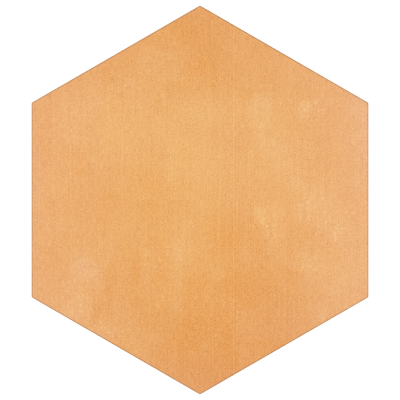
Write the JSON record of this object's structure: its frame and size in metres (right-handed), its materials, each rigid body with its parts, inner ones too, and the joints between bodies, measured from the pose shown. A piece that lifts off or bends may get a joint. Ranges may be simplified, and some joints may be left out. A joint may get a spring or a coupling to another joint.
{
  "type": "hexagon floor tile",
  "caption": "Flat regular hexagonal glazed floor tile with a clouded warm orange face, finely rounded edges, sides that draw in below, and a keyed back.",
  "frame": {"origin": "centre of the back, in the plane of its ribs and border, on which the tile rests", "axes": "+Z out of the glazed face, +Y towards one of the six corners, so that two of the six sides face +X and -X"},
  "size_m": [0.2164, 0.2496, 0.009],
  "materials": {
    "glazed_stoneware": "satin"
  },
  "bodies": {
    "root": {"hexagon_tile": "glazed_stoneware"}
  },
  "joints": []
}
